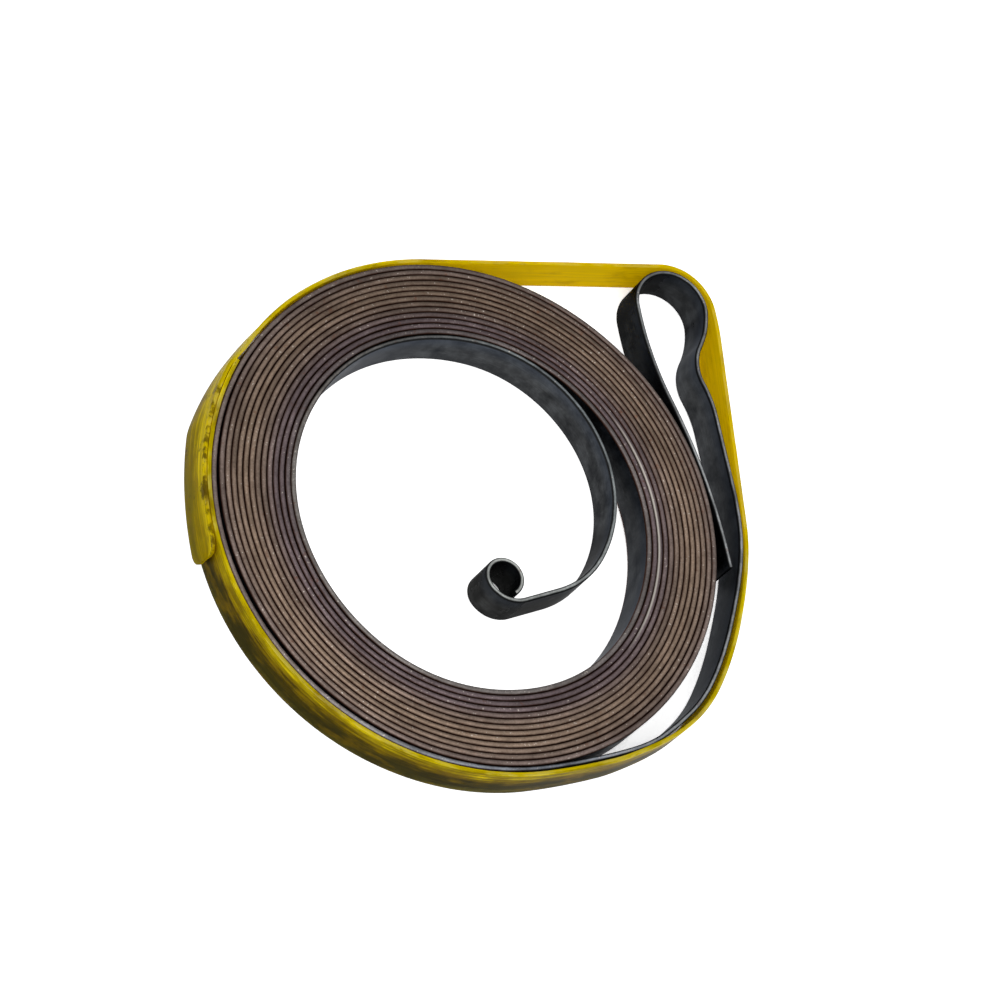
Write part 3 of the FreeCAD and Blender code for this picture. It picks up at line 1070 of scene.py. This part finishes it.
@dataclass
class RetainingBand:
    """The thin strap round the coil, with its lapped end. Sizes in millimetres and degrees."""

    plan: CoilPlan
    finish: TintedPolypropyleneStrap = field(default_factory=TintedPolypropyleneStrap)
    rows: int = 14
    tab_steps: int = 9
    step: float = 1.2
    step_angle: float = 2.6
    edge_rounding: float = 0.09
    edge_wave: float = 0.1
    lean_low: float = 0.2
    lean_on_pack: float = 0.06
    lap_room: float = 0.03
    side_hang: float = 0.52
    hang_angles: tuple[tuple[float, float], ...] = ((291, 305), (336, 357))
    inset: float = 0.008
    stained_angles: tuple[float, ...] = (152.3, 165.0, 175.6)
    stain_spread: float = 1.3

    def tab_end(
        self, course: Course, points: np.ndarray, headings: np.ndarray, lengths: np.ndarray
    ) -> tuple[np.ndarray, np.ndarray, np.ndarray]:
        """Give the tab's rounded end finer stations.

        Args:
            course: The strap's course, which ends in an arc.
            points: Its stations.
            headings: Heading at each station, in radians.
            lengths: Length along the strap of each station.

        Returns:
            The points, headings and lengths with the finer ones at the end.
        """
        corner, bend = self.plan.sizes.tab_corner_radius, course.pieces[-1][3]
        steps = np.radians(90 * np.arange(self.tab_steps)[::-1] / self.tab_steps)
        back = corner * (1 - np.cos(steps))
        turned = headings[-1] - back * bend
        tip = points[-1] + (normals(headings[-1]) - normals(turned)) / bend
        keep = lengths[-1] - lengths > corner
        return (
            np.concatenate([points[keep], tip]),
            np.concatenate([headings[keep], turned]),
            np.concatenate([lengths[keep], lengths[-1] - back]),
        )

    def lean(self, points: np.ndarray, lengths: np.ndarray, marks: dict[str, float]) -> np.ndarray:
        """How far the strap's top edge leans inwards, in millimetres.

        It leans on the steel, and at the lap its outer layer leans on the inner one.

        Args:
            points: Middle line of the strap.
            lengths: Length along the strap of each point.
            marks: Lengths at which the strap's stretches start.

        Returns:
            The lean at each point.
        """
        s = self.plan.sizes
        half = s.strap_thickness / 2
        radius, angle = np.hypot(points[:, 0], points[:, 1]), round_angles(points)
        under = lengths < marks["run_out"] * 0.6
        inner_layer = np.interp(angle, angle[under], radius[under]) + half
        steel = radius[0] - half - s.strap_clearance + self.lean_on_pack
        lapped = fade(angle, s.strap_inner_end_angle - 4, s.strap_inner_end_angle + 3)
        rest = steel + (inner_layer - steel) * lapped
        room = np.maximum(radius - half - rest - self.lap_room, 0)

        # The tab's tip stands off a little
        over = fade(lengths, marks["lap"], marks["lap"] + 6)
        over = over * (1 - 0.45 * fade(lengths, lengths[-1] - 7, lengths[-1]))
        on_steel = 1 - fade(lengths, marks["run_out"] - 10, marks["run_out"])
        on_steel = on_steel + fade(lengths, marks["pack"], marks["pack"] + 8)
        return self.lean_on_pack * on_steel * (1 - over) + room * over

    def own_values(
        self,
        points: np.ndarray,
        lengths: np.ndarray,
        marks: dict[str, float],
        ring: np.ndarray,
        level: np.ndarray,
    ) -> dict[str, np.ndarray]:
        """Work out what the strap's material reads at each point.

        Args:
            points: Middle line of the strap.
            lengths: Length along the strap of each station.
            marks: Lengths at which the strap's stretches start.
            ring: Section, as offset and share of the height.
            level: Height of each point, as stations by ring points.

        Returns:
            Steel behind the strap, height with the lap's lift, dirt and the top rim, each by its name.
        """
        angle = round_angles(points)
        backed = 1 - fade(lengths, marks["side"] - 8, marks["side"])
        backed = backed + fade(lengths, marks["pack"], marks["pack"] + 8)
        lapped = fade(lengths, marks["lap"] - 4, marks["lap"] + 6)
        # The lapped layer is moved up the painted height shade, so it is lighter
        lifted = lapped * (1 - 0.6 * fade(lengths, marks["tab"], marks["tab"] + 8))
        dirt = 0.1 + 0.2 * lapped
        for stained in self.stained_angles:
            dirt = dirt + 0.45 * lapped * np.exp(-(((angle - stained) / self.stain_spread) ** 2))
        # The strap's inner end and the top edge of the lapped layer from 150 to 158 degrees are darkened too
        dirt = dirt + 0.5 * (1 - fade(lengths, 1.0, 4.0))
        seam = fade(ring[:, 1], 0.86, 1.0) * (fade(angle, 150, 158) * lapped)[:, None]
        return {
            "backing": (backed * (1 - lapped * 0.25))[:, None] * (ring[:, 0] < 0),
            "level": level + 2.0 * lifted[:, None],
            "dirt": dirt[:, None] + 0.45 * seam,
            "lip": (ring[:, 1] > 0.99) * np.ones(level.shape),
        }

    def build(self) -> bpy.types.Object:
        """Sweep the strap along its course, with wavy edges and a rounded tab."""
        s = self.plan.sizes
        course, marks = self.plan.strap()
        points, headings, lengths = self.tab_end(course, *course.stations(self.step, self.step_angle))
        half, corner = s.strap_thickness / 2, s.tab_corner_radius
        share = np.linspace(0, 1, self.rows)
        inside = np.stack([np.full(self.rows, half), share], axis=1)
        outside = np.stack([np.full(self.rows, self.inset - half), share[::-1]], axis=1)
        ring = np.concatenate([inside, outside])

        # The tab's corners are rounded, and both edges wave a little
        gone = np.clip(corner - (lengths[-1] - lengths), 0, corner)
        pull = corner - np.sqrt(np.maximum(corner**2 - gone**2, 0))
        top = s.strap_height - pull - self.edge_wave * 0.5 * (1 + follow(wander(21, 3, 30), lengths))
        bottom = pull + self.edge_wave * 0.5 * (1 + follow(wander(22, 3, 30), lengths)) * 0.6
        level = bottom[:, None] + (top - bottom)[:, None] * ring[:, 1]
        hang = self.side_hang * self.plan.hang(points, *self.hang_angles)
        lean = self.lean(points, lengths, marks)
        offset = ring[:, 0] + lean[:, None] * fade(ring[:, 1], self.lean_low, 1.0) + hang[:, None]
        rings = rings_along(points, headings, offset, level)
        climb = share * s.strap_height
        round_length = np.concatenate([climb, s.strap_height + s.strap_thickness + climb])
        values = self.own_values(points, lengths, marks, ring, level)
        band = sweep("retaining_band_strap", rings, lengths, round_length, values)
        bevel = band.modifiers.new("rounded_edges", "BEVEL")
        bevel.width = self.edge_rounding * MM
        bevel.segments = 2
        bevel.limit_method = "ANGLE"
        band.data.materials.append(self.finish.build())
        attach(band, "root")
        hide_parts("retaining_band")
        log.info("strap: %d stations, %.0f mm", len(points), lengths[-1])
        return band


@dataclass
class Studio:
    """Pale floor, soft lights and the camera."""

    floor_size: float = 3.0
    world_level: float = 0.8
    key_power: float = 1.2
    fill_share: float = 0.15
    lens: float = 133.1
    camera_place: tuple[float, float, float] = (-0.2040, -0.1668, 0.3814)
    camera_right: tuple[float, float, float] = (0.8925, -0.1823, 0.4126)
    camera_up: tuple[float, float, float] = (-0.0020, 0.9132, 0.4076)

    def floor(self) -> None:
        """Make the floor under the coil."""
        half = self.floor_size / 2
        mesh = bpy.data.meshes.new("floor")
        corners = [(-half, -half, 0), (half, -half, 0), (half, half, 0), (-half, half, 0)]
        mesh.from_pydata(corners, [], [(0, 1, 2, 3)])
        mesh.materials.append(PaleStudioFloor().build())
        board = bpy.data.objects.new("floor", mesh)
        bpy.context.scene.collection.objects.link(board)

    def sky(self) -> None:
        """Soft light from all round, paler overhead than at the horizon."""
        world = bpy.data.worlds.new("soft_box_room")
        bpy.context.scene.world = world
        tree = empty_tree(world)
        output = add_node(tree, "ShaderNodeOutputWorld")
        place = add_node(tree, "ShaderNodeTexCoord").outputs["Generated"]
        height = add_node(tree, "ShaderNodeSeparateXYZ", {}, {0: place}).outputs[2]
        ramp = add_node(tree, "ShaderNodeValToRGB", {}, {0: height})
        set_ramp(ramp, [(0.0, "A4A4A6"), (0.35, "CCCDCF"), (0.8, "FFFFFF")])
        light = add_node(tree, "ShaderNodeBackground", {}, {"Color": ramp, "Strength": self.world_level})
        tree.links.new(light.outputs[0], output.inputs[0])

    def lamps(self) -> None:
        """One large soft lamp overhead, and a weaker one at the near side."""
        for name, place, size, power in (
            ("key_softbox", (0.0, -0.12, 0.85), 0.6, self.key_power),
            ("fill_softbox", (-0.2, -0.55, 0.6), 0.5, self.key_power * self.fill_share),
        ):
            lamp = bpy.data.lights.new(name, "AREA")
            lamp.size = size
            lamp.energy = power
            thing = bpy.data.objects.new(name, lamp)
            thing.location = place
            thing.rotation_euler = (-Vector(place)).to_track_quat("-Z", "Y").to_euler()
            bpy.context.scene.collection.objects.link(thing)

    def camera(self) -> None:
        """Long lens that looks down on the coil at the photograph's angle."""
        data = bpy.data.cameras.new("camera")
        data.lens = self.lens
        data.sensor_width = 36.0
        data.clip_start = 0.01
        data.clip_end = 10.0
        camera = bpy.data.objects.new("camera", data)
        right = Vector(self.camera_right).normalized()
        up = Vector(self.camera_up)
        up = (up - right * up.dot(right)).normalized()
        back = right.cross(up)
        turn = Matrix((right, up, back)).transposed()
        camera.matrix_world = Matrix.Translation(Vector(self.camera_place)) @ turn.to_4x4()
        bpy.context.scene.collection.objects.link(camera)
        bpy.context.scene.camera = camera

    def build(self) -> None:
        """Set the whole stage."""
        self.floor()
        self.sky()
        self.lamps()
        self.camera()
        bpy.context.scene.view_settings.view_transform = "Standard"


def main() -> None:
    """Build the spring, its strap and the studio."""
    logging.basicConfig(level=logging.INFO, format="%(message)s")
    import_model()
    plan = CoilPlan(CoilSizes())
    for piece in (SpringStrip(plan).build(), RetainingBand(plan).build()):
        log.info("%s: %d faces", piece.name, len(piece.data.polygons))
    Studio().build()


if __name__ == "__main__":
    main()
